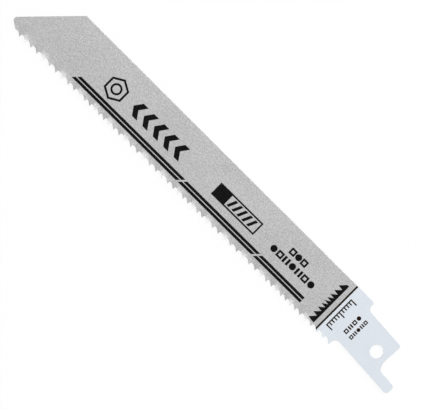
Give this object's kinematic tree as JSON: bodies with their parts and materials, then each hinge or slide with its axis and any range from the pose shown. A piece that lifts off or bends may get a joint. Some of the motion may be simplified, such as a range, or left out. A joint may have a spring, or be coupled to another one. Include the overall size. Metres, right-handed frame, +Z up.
{
  "type": "reciprocating saw blade",
  "caption": "Flat reciprocating saw blade with set teeth of changing pitch, a slanted end, two black stripes and a pale painted tang with a hole and a prong.",
  "frame": {"origin": "centre of the hole in the tang, half way through the blade's thickness", "axes": "+X along the blade from the hole to the tip, +Y from the back edge to the teeth, +Z up out of the printed face"},
  "size_m": [0.152, 0.0178, 0.0014],
  "materials": {
    "blade_steel": "fine blasted grey steel, matt, with brighter bent teeth",
    "shank_paint": "smooth pale blue-white paint, satin",
    "black_ink": "thin black printing ink, matt"
  },
  "bodies": {
    "root": {"blade": "blade_steel", "shank_coat": "shank_paint", "shank_line": "black_ink", "edge_stripes": "black_ink"}
  },
  "joints": []
}
